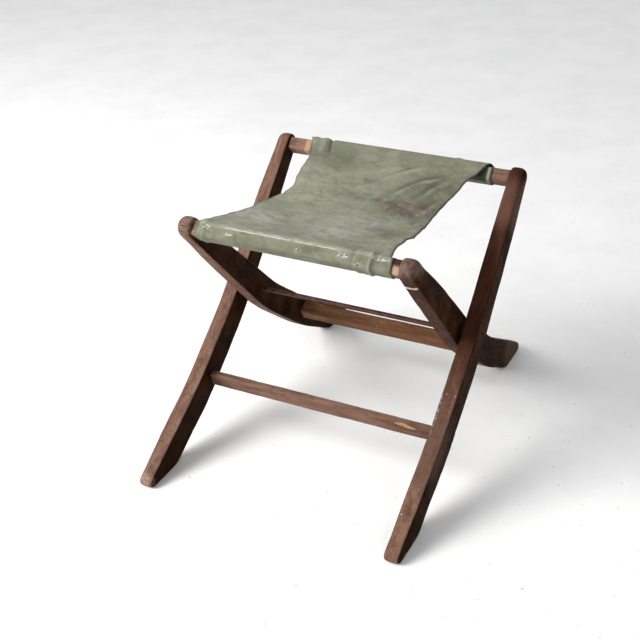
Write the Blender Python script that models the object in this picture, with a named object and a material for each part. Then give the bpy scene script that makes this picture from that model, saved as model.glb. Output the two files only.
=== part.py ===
"""Folding camp stool: two crossed wooden frames on a pivot rod, with a canvas seat.

Metres, +Z up. X is the width, the front is towards -Y, the floor is Z = 0.
The outer frame stands with its feet at the front and its rail at the rear. The inner
frame mirrors it front to back and turns about the pivot rod.
"""

import math

import bmesh
import bpy
from mathutils import Vector

MM = 0.001

# Overall layout
OUTER_HALF_WIDTH = 225 * MM  # outer faces of the outer legs
LEG_THICKNESS = 26 * MM
FRAME_GAP = 6 * MM  # between an outer leg and its inner leg
RAIL_Y = 183 * MM  # seat rail axis, front and rear of the pivot
RAIL_Z = 400 * MM
PIVOT_Z = 211 * MM
FIT = 0.3 * MM  # clearance all round a fitted piece

# Leg shape in side view
BEND_LENGTH = 80 * MM  # below the pivot
SHIN_SLOPE = math.radians(37.6)
FOOT_BEND_START = 160 * MM  # below the pivot
FOOT_BEND_LENGTH = 80 * MM
FOOT_SLOPE = math.radians(30.5)
TOP_PAST_RAIL = 3 * MM  # centre of the round top, beyond the rail axis
WIDTH_TOP = 34 * MM
WIDTH_PIVOT = 49 * MM
WIDTH_FOOT = 52 * MM
TOE_RADIUS = 9 * MM
HEEL_RADIUS = 45 * MM
OUTLINE_STEP = 16 * MM

# Rounding between a leg's edges and its two faces; the outer face turns away from x = 0
LEG_EDGE_ROUND = 3 * MM
TOP_ROUND_OUTER = 11 * MM
TOP_ROUND_INNER = 4.5 * MM
TOP_ROUND_LENGTH = 95 * MM
FOOT_ROUND_OUTER = 6 * MM
FOOT_ROUND_INNER = 4 * MM
FOOT_ROUND_HEIGHT = 70 * MM
SOLE_ROUND = 2 * MM
ROUND_STEPS = 4

# Rails and stretchers
RAIL_SIDE = 23 * MM  # square bar, turned to line up with its legs
RAIL_ROUND = 4 * MM
TENON_LENGTH = 18 * MM
TENON_ROUND = 1 * MM
RAIL_TENON = 15 * MM
FRONT_BOARD_Y = -126 * MM
FRONT_BOARD_Z = 97 * MM
FRONT_BOARD_HEIGHT = 24 * MM
FRONT_BOARD_DEPTH = 12 * MM
FRONT_BOARD_LEAN = math.radians(12)
FRONT_BOARD_TENON = (7 * MM, 18 * MM)
REAR_BAR_Y = 144 * MM
REAR_BAR_Z = 97 * MM
REAR_BAR_SIDE = 24 * MM
REAR_BAR_LEAN = math.radians(30)
BAR_ROUND = 2 * MM

# Pivot hardware
ROD_RADIUS = 4 * MM
ROD_END_RECESS = 2 * MM
SPACER_RADIUS = 11 * MM
NAIL_RADIUS = 1.2 * MM
NAIL_PAST = 6.5 * MM  # beyond the rod's axis
NAIL_SINK = 0.6 * MM

# Brads that pin the tenons
BRAD_RADIUS = 1.3 * MM
BRAD_SINK = 0.5 * MM
BRAD_PAST = 2 * MM  # beyond the tenon
PIN_HOLE_PAST = 2 * MM  # a hole's cutter starts this far outside the wood

# Canvas
CLOTH = 1.5 * MM
SEAT_SAG_SLOPE = math.radians(17.5)
SEAT_HALF_FRONT = 156 * MM
SEAT_HALF_REAR = 164 * MM
SEAT_HALF_WAIST = 131 * MM
SEAT_WAIST_Y = 20 * MM
FLAP_END = 5 * MM  # raw edge, measured from the middle of the rail's face
CLOTH_STRIPS = 8
SHEET_STEPS = 24

# Tacks
TACK_COUNT = 6
TACK_SPAN = 276 * MM
TACK_HEAD_RADIUS = 3.5 * MM
TACK_HEAD = 1.2 * MM
TACK_SHANK_RADIUS = 0.9 * MM
TACK_LENGTH = 11 * MM
TACK_PLACE = -2.5 * MM  # measured like FLAP_END

INNER_HALF_WIDTH = OUTER_HALF_WIDTH - LEG_THICKNESS - FRAME_GAP
LEG_SLOPE = math.atan2(RAIL_Z - PIVOT_Z, RAIL_Y)
TOP_LENGTH = math.hypot(RAIL_Y, RAIL_Z - PIVOT_Z)


def clear_scene():
    for obj in list(bpy.data.objects):
        bpy.data.objects.remove(obj, do_unlink=True)


def make_material(name, colour, roughness, metallic=0.0):
    material = bpy.data.materials.new(name)
    material.use_nodes = True
    shader = material.node_tree.nodes["Principled BSDF"]
    shader.inputs["Base Color"].default_value = (*colour, 1)
    shader.inputs["Roughness"].default_value = roughness
    shader.inputs["Metallic"].default_value = metallic
    material.diffuse_color = (*colour, 1)
    return material


def make_object(name, bm, material, parent=None):
    """An object from a bmesh in world coordinates; a child's origin is its parent's."""
    bmesh.ops.recalc_face_normals(bm, faces=bm.faces)
    if bm.calc_volume(signed=True) < 0:
        bmesh.ops.reverse_faces(bm, faces=bm.faces)
    if parent is not None:
        bmesh.ops.translate(bm, verts=bm.verts, vec=-parent.location)
    mesh = bpy.data.meshes.new(name)
    bm.to_mesh(mesh)
    bm.free()
    mesh.shade_smooth()
    mesh.set_sharp_from_angle(angle=math.radians(35))
    obj = bpy.data.objects.new(name, mesh)
    bpy.context.scene.collection.objects.link(obj)
    if material is not None:
        mesh.materials.append(material)
    if parent is not None:
        obj.parent = parent
    return obj


def cut(obj, cutter):
    """Take the cutter's bodies away from an object."""
    cutter.hide_render = True
    cutter.display_type = "WIRE"
    modifier = obj.modifiers.new("cut", "BOOLEAN")
    modifier.operation = "DIFFERENCE"
    modifier.solver = "EXACT"
    modifier.object = cutter


def loft(bm, rings):
    """Close a body from rings of points with equal counts, capped at both ends."""
    made = [[bm.verts.new(point) for point in ring] for ring in rings]
    count = len(made[0])
    for first, second in zip(made, made[1:]):
        for i in range(count):
            j = (i + 1) % count
            bm.faces.new((first[i], first[j], second[j], second[i]))
    bm.faces.new(list(reversed(made[0])))
    bm.faces.new(made[-1])


def rod_rings(start, direction, stations):
    """Rings round an axis, from (distance along, radius) pairs."""
    direction = Vector(direction).normalized()
    across = direction.orthogonal().normalized()
    other = direction.cross(across)
    rings = []
    for distance, radius in stations:
        centre = Vector(start) + direction * distance
        ring = [centre + across * a + other * b for a, b in circle(radius)]
        rings.append(ring)
    return rings


def rounded_rectangle(width, height, radius, steps=4):
    """Outline (a, b) of a rectangle centred on the origin, with rounded corners."""
    points = []
    for quarter in range(4):
        middle = math.pi / 4 + quarter * math.pi / 2
        corner_a = math.copysign(width / 2 - radius, math.cos(middle))
        corner_b = math.copysign(height / 2 - radius, math.sin(middle))
        for step in range(steps + 1):
            angle = quarter * math.pi / 2 + step / steps * math.pi / 2
            a = corner_a + radius * math.cos(angle)
            b = corner_b + radius * math.sin(angle)
            points.append((a, b))
    return points


def circle(radius, count=12):
    angles = [2 * math.pi * i / count for i in range(count)]
    return [(radius * math.cos(a), radius * math.sin(a)) for a in angles]


def turned(points, angle, centre):
    """Turn an outline by `angle` in side view and move it to `centre` (y, z)."""
    cos, sin = math.cos(angle), math.sin(angle)
    moved = []
    for a, b in points:
        moved.append((centre[0] + a * cos - b * sin, centre[1] + a * sin + b * cos))
    return moved


def at_x(points, x):
    return [(x, y, z) for y, z in points]


# Side view points are (y, z) of the outer frame. `side` is +1 for the outer frame and
# -1 for the inner one, which is the same shape turned front to back.


def flip(point, side):
    return (point[0] * side, point[1])


# ---------------------------------------------------------------- legs


def ease(t):
    t = min(max(t, 0.0), 1.0)
    return t * t * (3 - 2 * t)


def share(value, start, length):
    """How far a value is through a range, from 0 to 1."""
    return min(max((value - start) / length, 0.0), 1.0)


def leg_slope(length):
    """Downward slope of the centre line at a distance from the rail axis."""
    knee = share(length, TOP_LENGTH, BEND_LENGTH)
    ankle = share(length, TOP_LENGTH + FOOT_BEND_START, FOOT_BEND_LENGTH)
    shin = LEG_SLOPE + (SHIN_SLOPE - LEG_SLOPE) * knee
    return shin + (FOOT_SLOPE - SHIN_SLOPE) * ankle


def leg_width(length):
    """Width in side view: slim at the rail, widening to the pivot and on to the foot."""
    above = share(length, 0, TOP_LENGTH)
    below = share(length, TOP_LENGTH, TOP_LENGTH)
    width = WIDTH_TOP + (WIDTH_PIVOT - WIDTH_TOP) * above
    return width + (WIDTH_FOOT - WIDTH_PIVOT) * below


def leg_centre_line():
    """(y, z, slope, length) from the rail axis down to the floor, then straight on."""
    step = 2 * MM
    y, z, length = RAIL_Y, RAIL_Z, 0.0
    line = [(y, z, LEG_SLOPE, length)]
    while z > -2 * WIDTH_FOOT:
        slope = leg_slope(length + step / 2)
        y -= step * math.cos(slope)
        z -= step * math.sin(slope)
        length += step
        line.append((y, z, leg_slope(length), length))
    return line


def leg_edges():
    """The two long edges, (y, z) from the top to below the floor: upper, lower."""
    upper, lower = [], []
    for y, z, slope, length in leg_centre_line():
        half = leg_width(length) / 2
        across = (-math.sin(slope) * half, math.cos(slope) * half)
        upper.append((y + across[0], z + across[1]))
        lower.append((y - across[0], z - across[1]))
    return upper, lower


def thinned(edge, lowest):
    """Every few points of an edge, down to a height."""
    kept = [edge[0]]
    for point in edge[1:]:
        if point[1] < lowest:
            break
        if math.dist(point, kept[-1]) >= OUTLINE_STEP:
            kept.append(point)
    return kept


def floor_crossing(edge):
    """The y at which an edge reaches the floor."""
    for above, below in zip(edge, edge[1:]):
        if below[1] <= 0:
            t = above[1] / (above[1] - below[1])
            return above[0] + (below[0] - above[0]) * t
    return edge[-1][0]


def arc(centre, radius, start, end, steps):
    points = []
    for step in range(steps + 1):
        angle = start + (end - start) * step / steps
        y = centre[0] + radius * math.cos(angle)
        z = centre[1] + radius * math.sin(angle)
        points.append((y, z))
    return points


def crown_centre():
    y = RAIL_Y + TOP_PAST_RAIL * math.cos(LEG_SLOPE)
    return (y, RAIL_Z + TOP_PAST_RAIL * math.sin(LEG_SLOPE))


def leg_outline():
    """Closed side view: down the upper edge, along the sole, up the lower edge."""
    upper, lower = leg_edges()
    down = -math.pi / 2
    toe_y = floor_crossing(upper) + TOE_RADIUS / math.tan(FOOT_SLOPE / 2)
    toe_start = math.pi / 2 + FOOT_SLOPE
    toe = arc((toe_y, TOE_RADIUS), TOE_RADIUS, toe_start, 1.5 * math.pi, 8)
    heel_y = floor_crossing(lower) - HEEL_RADIUS * math.tan(FOOT_SLOPE / 2)
    heel = arc((heel_y, HEEL_RADIUS), HEEL_RADIUS, down, down + FOOT_SLOPE, 4)
    crown_start = LEG_SLOPE - math.pi / 2
    crown_end = LEG_SLOPE + math.pi / 2
    crown = arc(crown_centre(), WIDTH_TOP / 2, crown_start, crown_end, 12)
    front = thinned(upper, toe[0][1] + OUTLINE_STEP / 2)
    back = thinned(lower, heel[-1][1] + OUTLINE_STEP / 2)
    return front + toe + heel + back[::-1] + crown


def edge_round(point, outer):
    """Radius of the rounding from an edge to the outer or the inner face."""
    top = TOP_ROUND_OUTER if outer else TOP_ROUND_INNER
    foot = FOOT_ROUND_OUTER if outer else FOOT_ROUND_INNER
    from_top = math.dist(point, (RAIL_Y, RAIL_Z)) - WIDTH_TOP
    near_top = 1 - share(from_top, 0, TOP_ROUND_LENGTH)
    near_foot = 1 - share(point[1], 0, FOOT_ROUND_HEIGHT)
    radius = LEG_EDGE_ROUND + (top - LEG_EDGE_ROUND) * near_top**2
    radius += (foot - LEG_EDGE_ROUND) * ease(near_foot)
    return min(radius, SOLE_ROUND + point[1] / 2)


def inset(outline, amounts):
    """An outline that runs anticlockwise, each point moved inwards by its own amount."""
    moved = []
    count = len(outline)
    for i, point in enumerate(outline):
        normals = []
        for a, b in ((outline[i - 1], point), (point, outline[(i + 1) % count])):
            size = math.dist(a, b)
            normals.append(((a[1] - b[1]) / size, (b[0] - a[0]) / size))
        (y1, z1), (y2, z2) = normals
        scale = amounts[i] / (1 + y1 * y2 + z1 * z2)
        moved.append((point[0] + (y1 + y2) * scale, point[1] + (z1 + z2) * scale))
    return moved


def rounded_face(outline, side, x_face, x_into, outer):
    """Rings from the flat of one face out to the leg's full outline."""
    rounds = [edge_round(point, outer) for point in outline]
    rings = []
    for step in range(ROUND_STEPS + 1):
        angle = math.pi / 2 * step / ROUND_STEPS
        shrunk = inset(outline, [radius * (1 - math.sin(angle)) for radius in rounds])
        ring = []
        for point, radius in zip(shrunk, rounds):
            x = x_face + x_into * radius * (1 - math.cos(angle))
            ring.append((x, *flip(point, side)))
        rings.append(ring)
    return rings


def build_leg(name, x_side, half, side, material, parent):
    """A leg on one side (-1 left, 1 right), its outer face `half` from the middle."""
    outline = leg_outline()
    inner_x = x_side * (half - LEG_THICKNESS)
    inner = rounded_face(outline, side, inner_x, x_side, False)
    outer = rounded_face(outline, side, x_side * half, -x_side, True)
    bm = bmesh.new()
    loft(bm, inner + outer[::-1])
    return make_object(name, bm, material, parent)


def reach(point, direction, outline):
    """Distance from a point inside an outline to its boundary, along a direction."""
    nearest = math.inf
    for a, b in zip(outline, outline[1:] + outline[:1]):
        edge = (b[0] - a[0], b[1] - a[1])
        turn = direction[0] * edge[1] - direction[1] * edge[0]
        if abs(turn) < 1e-12:
            continue
        offset = (a[0] - point[0], a[1] - point[1])
        far = (offset[0] * edge[1] - offset[1] * edge[0]) / turn
        along = (offset[0] * direction[1] - offset[1] * direction[0]) / turn
        if 0 <= along <= 1 and far > 0:
            nearest = min(nearest, far)
    return nearest


# ---------------------------------------------------------------- bars between legs


class Bar:
    """A rail or stretcher with a tenon at each end, and the mortises that take it."""

    def __init__(self, centre, angle, section, tenon, side, inner_face):
        self.centre = centre
        self.angle = angle
        self.section = section
        self.tenon = tenon
        self.side = side
        self.shoulder = inner_face - FIT
        self.end = inner_face + TENON_LENGTH

    def placed(self, outline):
        return [flip(p, self.side) for p in turned(outline, self.angle, self.centre)]

    def build(self, name, corner, material, parent):
        full = self.placed(rounded_rectangle(*self.section, corner))
        tenon = self.placed(rounded_rectangle(*self.tenon, TENON_ROUND))
        rings = [
            at_x(tenon, -self.end),
            at_x(tenon, -self.shoulder),
            at_x(full, -self.shoulder),
            at_x(full, self.shoulder),
            at_x(tenon, self.shoulder),
            at_x(tenon, self.end),
        ]
        bm = bmesh.new()
        loft(bm, rings)
        return make_object(name, bm, material, parent)

    def add_mortise(self, bm, x_side):
        """The pocket for the tenon in the leg on one side, with its clearance."""
        width, height = self.tenon
        grown = rounded_rectangle(width + 2 * FIT, height + 2 * FIT, TENON_ROUND + FIT)
        outline = self.placed(grown)
        outer, inner = self.end + FIT, self.shoulder - FIT
        loft(bm, [at_x(outline, x_side * inner), at_x(outline, x_side * outer)])


def add_cylinder(bm, start, direction, length, radius):
    loft(bm, rod_rings(start, direction, [(0, radius), (length, radius)]))


class Pin:
    """A headless nail driven into a leg's edge, sunk a little below the wood."""

    def __init__(self, point, direction, side, x, past, radius, sink):
        depth = reach(point, direction, leg_outline()) - sink
        y, z = flip(point, side)
        out_y, out_z = flip(direction, side)
        self.start = Vector((x, y + out_y * depth, z + out_z * depth))
        self.direction = Vector((0, -out_y, -out_z))
        self.length = depth + past
        self.radius = radius
        self.sink = sink

    def build(self, name, material, parent):
        stations = [
            (0, 0.7 * self.radius),
            (0.25 * MM, self.radius),
            (self.length - 2 * self.radius, self.radius),
            (self.length, 0.3 * self.radius),
        ]
        bm = bmesh.new()
        loft(bm, rod_rings(self.start, self.direction, stations))
        return make_object(name, bm, material, parent)

    def add_hole(self, bm):
        outside = self.sink + PIN_HOLE_PAST
        start = self.start - self.direction * outside
        length = outside + self.length + FIT
        add_cylinder(bm, start, self.direction, length, self.radius + FIT)


def new_cutter(name, fill, parent=None):
    """A cutter object whose bodies are made by `fill(bmesh)`."""
    bm = bmesh.new()
    fill(bm)
    return make_object(name, bm, None, parent)


# ---------------------------------------------------------------- canvas


def rail_axes(side):
    """Unit vectors of a rail's section: outwards over the seat's end, and inwards."""
    outward = (side * math.cos(LEG_SLOPE), math.sin(LEG_SLOPE))
    inward = (-side * math.sin(LEG_SLOPE), math.cos(LEG_SLOPE))
    return outward, inward


def rail_point(side, out, up):
    """A point of the rail's section, by distances along its two axes."""
    outward, inward = rail_axes(side)
    y = side * RAIL_Y + out * outward[0] + up * inward[0]
    z = RAIL_Z + out * outward[1] + up * inward[1]
    return (y, z)


def wrap_path(lift):
    """Front wrap at a height above the rail's surface: raw edge to the sheet's start."""
    flat = RAIL_SIDE / 2 - RAIL_ROUND
    face = RAIL_SIDE / 2 + lift
    radius = RAIL_ROUND + lift
    path = [rail_point(-1, FLAP_END, face)]
    path.append(rail_point(-1, (FLAP_END - flat) / 2, face))
    inward_angle = math.pi / 2 - LEG_SLOPE
    corners = [(-1, 1, 90), (-1, -1, 90), (1, -1, 90)]
    angle = inward_angle
    for out, up, sweep in corners:
        centre = rail_point(-1, out * flat, up * flat)
        path += arc(centre, radius, angle, angle - math.radians(sweep), 4)
        angle -= math.radians(sweep)
    centre = rail_point(-1, flat, flat)
    leave = math.pi / 2 - SEAT_SAG_SLOPE - 2 * math.pi
    path += arc(centre, radius, angle, leave, 4)
    return path


def seat_profile():
    """Inner and outer lines of the cloth from the front raw edge to the rear one."""
    inner = wrap_path(FIT)
    outer = wrap_path(FIT + CLOTH)
    middle = wrap_path(FIT + CLOTH / 2)[-1]
    slope = math.tan(SEAT_SAG_SLOPE)
    for step in range(1, SHEET_STEPS):
        y = middle[0] * (1 - 2 * step / SHEET_STEPS)
        z = middle[1] - slope * (middle[0] ** 2 - y ** 2) / (2 * abs(middle[0]))
        tilt = math.atan(slope * y / abs(middle[0]))
        half = CLOTH / 2
        up = (-math.sin(tilt) * half, math.cos(tilt) * half)
        inner.append((y - up[0], z - up[1]))
        outer.append((y + up[0], z + up[1]))
    inner += [flip(point, -1) for point in reversed(wrap_path(FIT))]
    outer += [flip(point, -1) for point in reversed(wrap_path(FIT + CLOTH))]
    return inner, outer


def seat_half_width(y):
    """Half width of the sheet: narrow waist between the two sleeves."""
    if y < SEAT_WAIST_Y:
        t = (SEAT_WAIST_Y - y) / (SEAT_WAIST_Y + RAIL_Y)
        end = SEAT_HALF_FRONT
    else:
        t = (y - SEAT_WAIST_Y) / (RAIL_Y - SEAT_WAIST_Y)
        end = SEAT_HALF_REAR
    return SEAT_HALF_WAIST + (end - SEAT_HALF_WAIST) * min(t, 1.0) ** 2.5


def build_seat(material):
    inner, outer = seat_profile()
    wrap = len(wrap_path(0))
    stations = len(inner)
    bm = bmesh.new()
    rows = []
    for index, (low, high) in enumerate(zip(inner, outer)):
        half = seat_half_width((low[0] + high[0]) / 2)
        if index < wrap:
            half = SEAT_HALF_FRONT
        if index >= stations - wrap:
            half = SEAT_HALF_REAR
        xs = [half * (2 * i / CLOTH_STRIPS - 1) for i in range(CLOTH_STRIPS + 1)]
        under = [bm.verts.new((x, *low)) for x in xs]
        over = [bm.verts.new((x, *high)) for x in xs]
        rows.append(under + over[::-1])
    count = len(rows[0])
    for first, second in zip(rows, rows[1:]):
        for i in range(count):
            j = (i + 1) % count
            bm.faces.new((first[i], first[j], second[j], second[i]))
    strips = CLOTH_STRIPS
    for row in (rows[0], rows[-1]):
        for i in range(strips):
            bm.faces.new((row[i], row[i + 1], row[count - 2 - i], row[count - 1 - i]))
    return make_object("seat_canvas", bm, material)


# ---------------------------------------------------------------- tacks


class Tack:
    """A domed tack through the wrapped edge of the cloth into a rail."""

    def __init__(self, side, x):
        face = RAIL_SIDE / 2 + 2 * FIT + CLOTH
        y, z = rail_point(side, TACK_PLACE, face)
        _, inward = rail_axes(side)
        self.seat = Vector((x, y, z))
        self.up = Vector((0, *inward))

    def build(self, name, material, parent):
        top = self.seat + self.up * TACK_HEAD
        shank = TACK_HEAD + TACK_LENGTH
        stations = [
            (0, 0.35 * TACK_HEAD_RADIUS),
            (0.3 * TACK_HEAD, 0.8 * TACK_HEAD_RADIUS),
            (0.8 * TACK_HEAD, TACK_HEAD_RADIUS),
            (TACK_HEAD, TACK_HEAD_RADIUS),
            (TACK_HEAD, TACK_SHANK_RADIUS),
            (shank - 3 * MM, TACK_SHANK_RADIUS),
            (shank, 0.2 * TACK_SHANK_RADIUS),
        ]
        bm = bmesh.new()
        loft(bm, rod_rings(top, -self.up, stations))
        return make_object(name, bm, material, parent)

    def add_hole(self, bm):
        start = self.seat + self.up * FIT
        length = TACK_LENGTH + 2 * FIT
        add_cylinder(bm, start, -self.up, length, TACK_SHANK_RADIUS + FIT)


def tack_places():
    return [TACK_SPAN * (i / (TACK_COUNT - 1) - 0.5) for i in range(TACK_COUNT)]


# ---------------------------------------------------------------- assembly


def build_frame(side, names, bars, materials, parent):
    """Two legs, their bars and the brads that pin them. Returns the legs and bars."""
    wood, steel = materials["wood"], materials["steel"]
    half = OUTER_HALF_WIDTH if side > 0 else INNER_HALF_WIDTH
    mid_tenon = half - LEG_THICKNESS + TENON_LENGTH / 2
    built = {}
    for bar_name, bar, corner, _ in bars:
        built[bar_name] = bar.build(bar_name, corner, wood, parent)
    for x_side, word in ((-1, "left"), (1, "right")):
        leg = build_leg(f"{names}_leg_{word}", x_side, half, side, wood, parent)
        built[word] = leg
        pins = []
        for bar_name, bar, _, direction in bars:
            past = bar.tenon[0] / 2 + BRAD_PAST
            x = x_side * mid_tenon
            radius, sink = BRAD_RADIUS, BRAD_SINK
            pin = Pin(bar.centre, direction, side, x, past, radius, sink)
            pins.append(pin)
            pin.build(f"brad_{bar_name}_{word}", steel, parent)
            hole = new_cutter(f"cut_{bar_name}_{word}", pin.add_hole, parent)
            cut(built[bar_name], hole)

        def pockets(bm, x_side=x_side):
            for _, bar, _, _ in bars:
                bar.add_mortise(bm, x_side)

        def pivot_hole(bm):
            start = (-OUTER_HALF_WIDTH - 5 * MM, 0, PIVOT_Z)
            length = 2 * OUTER_HALF_WIDTH + 10 * MM
            add_cylinder(bm, start, (1, 0, 0), length, ROD_RADIUS + FIT)

        def pin_holes(bm, pins=pins):
            for pin in pins:
                pin.add_hole(bm)

        cut(leg, new_cutter(f"pockets_{names}_{word}", pockets, parent))
        cut(leg, new_cutter(f"pivot_{names}_{word}", pivot_hole, parent))
        cut(leg, new_cutter(f"brads_{names}_{word}", pin_holes, parent))
    return built


def build_rod(built, material, parent):
    end = OUTER_HALF_WIDTH - ROD_END_RECESS
    chamfer = 0.6 * MM
    stations = [
        (0, ROD_RADIUS - chamfer),
        (chamfer, ROD_RADIUS),
        (2 * end - chamfer, ROD_RADIUS),
        (2 * end, ROD_RADIUS - chamfer),
    ]
    bm = bmesh.new()
    loft(bm, rod_rings((-end, 0, PIVOT_Z), (1, 0, 0), stations))
    rod = make_object("pivot_rod", bm, material, parent)
    inward = (math.sin(LEG_SLOPE), -math.cos(LEG_SLOPE))
    for x_side, word in ((-1, "left"), (1, "right")):
        x = x_side * (INNER_HALF_WIDTH - LEG_THICKNESS / 2)
        place = (0, PIVOT_Z)
        nail = Pin(place, inward, -1, x, NAIL_PAST, NAIL_RADIUS, NAIL_SINK)
        nail.build(f"rod_nail_{word}", material, parent)
        hole = new_cutter(f"nail_{word}", nail.add_hole, parent)
        cut(built[word], hole)
        cut(rod, hole)
        build_spacer(f"spacer_{word}", x_side, material, parent)


def build_spacer(name, x_side, material, parent):
    low = INNER_HALF_WIDTH + FIT
    high = OUTER_HALF_WIDTH - LEG_THICKNESS - FIT
    bm = bmesh.new()
    hole = ROD_RADIUS + FIT
    section = [(low, hole), (high, hole), (high, SPACER_RADIUS), (low, SPACER_RADIUS)]
    rings = []
    for turn in circle(1.0, 24):
        ring = []
        for x, radius in section:
            y, z = turn[0] * radius, PIVOT_Z + turn[1] * radius
            ring.append(bm.verts.new((x_side * x, y, z)))
        rings.append(ring)
    for first, second in zip(rings, rings[1:] + rings[:1]):
        for i in range(4):
            j = (i + 1) % 4
            bm.faces.new((first[i], first[j], second[j], second[i]))
    make_object(name, bm, material, parent)


def build_stool():
    clear_scene()
    materials = {
        "wood": make_material("stained_wood", (0.16, 0.085, 0.055), 0.55),
        "steel": make_material("dark_steel", (0.09, 0.08, 0.08), 0.45, 0.9),
        "cloth": make_material("green_canvas", (0.36, 0.38, 0.31), 0.85),
    }
    fold_axis = bpy.data.objects.new("fold_axis", None)
    fold_axis.location = (0, 0, PIVOT_Z)
    fold_axis.empty_display_size = 0.05
    bpy.context.scene.collection.objects.link(fold_axis)

    outer_face = OUTER_HALF_WIDTH - LEG_THICKNESS
    inner_face = INNER_HALF_WIDTH - LEG_THICKNESS
    rail = (RAIL_SIDE, RAIL_SIDE)
    tenon = (RAIL_TENON, RAIL_TENON)
    place = (RAIL_Y, RAIL_Z)
    rear_rail = Bar(place, LEG_SLOPE, rail, tenon, 1, outer_face)
    front_rail = Bar(place, LEG_SLOPE, rail, tenon, -1, inner_face)
    board = (FRONT_BOARD_DEPTH, FRONT_BOARD_HEIGHT)
    place = (FRONT_BOARD_Y, FRONT_BOARD_Z)
    tenon = FRONT_BOARD_TENON
    front_board = Bar(place, FRONT_BOARD_LEAN, board, tenon, 1, outer_face)
    bar = (REAR_BAR_SIDE, REAR_BAR_SIDE)
    place = (-REAR_BAR_Y, REAR_BAR_Z)
    tenon = (RAIL_TENON, RAIL_TENON)
    rear_bar = Bar(place, -REAR_BAR_LEAN, bar, tenon, -1, inner_face)

    below_top = (math.sin(LEG_SLOPE), -math.cos(LEG_SLOPE))
    below_foot = (math.sin(SHIN_SLOPE), -math.cos(SHIN_SLOPE))
    above_top = (-below_top[0], -below_top[1])
    above_foot = (-below_foot[0], -below_foot[1])
    outer_bars = [
        ("rear_seat_rail", rear_rail, RAIL_ROUND, below_top),
        ("front_stretcher", front_board, BAR_ROUND, below_foot),
    ]
    inner_bars = [
        ("front_seat_rail", front_rail, RAIL_ROUND, above_top),
        ("rear_stretcher", rear_bar, BAR_ROUND, above_foot),
    ]
    outer = build_frame(1, "outer", outer_bars, materials, None)
    inner = build_frame(-1, "inner", inner_bars, materials, fold_axis)
    build_rod(inner, materials["steel"], fold_axis)

    seat = build_seat(materials["cloth"])
    rails = {1: outer["rear_seat_rail"], -1: inner["front_seat_rail"]}
    for side, word, parent in ((1, "rear", None), (-1, "front", fold_axis)):
        tacks = [Tack(side, x) for x in tack_places()]
        for number, tack in enumerate(tacks, 1):
            tack.build(f"tack_{word}_{number}", materials["steel"], parent)

        def tack_holes(bm, tacks=tacks):
            for tack in tacks:
                tack.add_hole(bm)

        cutter = new_cutter(f"tack_holes_{word}", tack_holes)
        cut(rails[side], cutter)
        cut(seat, cutter)


build_stool()
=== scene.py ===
import math

import bpy
import numpy as np
from mathutils import Matrix, Vector, noise


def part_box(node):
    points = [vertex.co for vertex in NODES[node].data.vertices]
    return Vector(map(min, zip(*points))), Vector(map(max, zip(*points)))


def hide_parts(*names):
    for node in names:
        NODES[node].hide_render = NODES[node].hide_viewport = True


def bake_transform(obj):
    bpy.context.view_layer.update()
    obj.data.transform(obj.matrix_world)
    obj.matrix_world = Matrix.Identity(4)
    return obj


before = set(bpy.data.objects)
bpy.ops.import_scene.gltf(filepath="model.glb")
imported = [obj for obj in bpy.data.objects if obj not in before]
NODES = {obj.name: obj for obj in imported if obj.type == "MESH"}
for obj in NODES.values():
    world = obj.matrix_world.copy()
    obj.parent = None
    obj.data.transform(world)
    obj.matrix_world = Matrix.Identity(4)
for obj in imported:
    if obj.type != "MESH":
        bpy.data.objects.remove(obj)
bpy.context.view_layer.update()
MM = 0.001

# ------------------------------------------------------------------ frame facts


def centre_of(node):
    """Middle of a CAD node's box."""
    low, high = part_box(node)
    return (low + high) / 2


FRONT_RAIL = centre_of("front_seat_rail")
REAR_RAIL = centre_of("rear_seat_rail")
PIVOT = centre_of("pivot_rod")
LEG_SLOPE = math.atan2(REAR_RAIL.z - PIVOT.z, REAR_RAIL.y - PIVOT.y)
UP_REAR = Vector((0, math.cos(LEG_SLOPE), math.sin(LEG_SLOPE)))
UP_FRONT = Vector((0, -math.cos(LEG_SLOPE), math.sin(LEG_SLOPE)))
BELOW_FRONT = Vector((0, -math.sin(LEG_SLOPE), -math.cos(LEG_SLOPE)))  # square to UP_FRONT
ALONG_RAILS = Vector((1, 0, 0))

# Seat rail section
RAIL_HALF = 11.5 * MM
RAIL_ROUND = 4.0 * MM
TENON = 18.3 * MM  # a rail's end beyond its shoulder

# Canvas
CLOTH = 1.3 * MM
LIFT = 1.05 * MM  # middle of the cloth above the rail's surface
FLAP_END = 5.0 * MM
REAR_FLAP_END = 9.0 * MM
SAG = 28.5 * MM
SHEET_SLOPE = math.radians(15)  # of the sheet where it leaves a rail
# Stations along the seat: each side edge's distance from the middle, and its drop below the rails
EDGE_Y = np.array([-190, -140, -93, -46, 0, 46, 93, 140, 190]) * MM
EDGE_LEFT = np.array([157, 150, 143.5, 140, 131, 127, 136.5, 141, 160]) * MM
EDGE_RIGHT = np.array([154, 138, 132, 133.5, 131, 130.5, 137, 145.5, 163]) * MM
EDGE_DROP = np.array([0, 7.5, 17.5, 26, 29, 27.5, 18.5, 8, 0]) * MM


# ------------------------------------------------------------------ node materials


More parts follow.
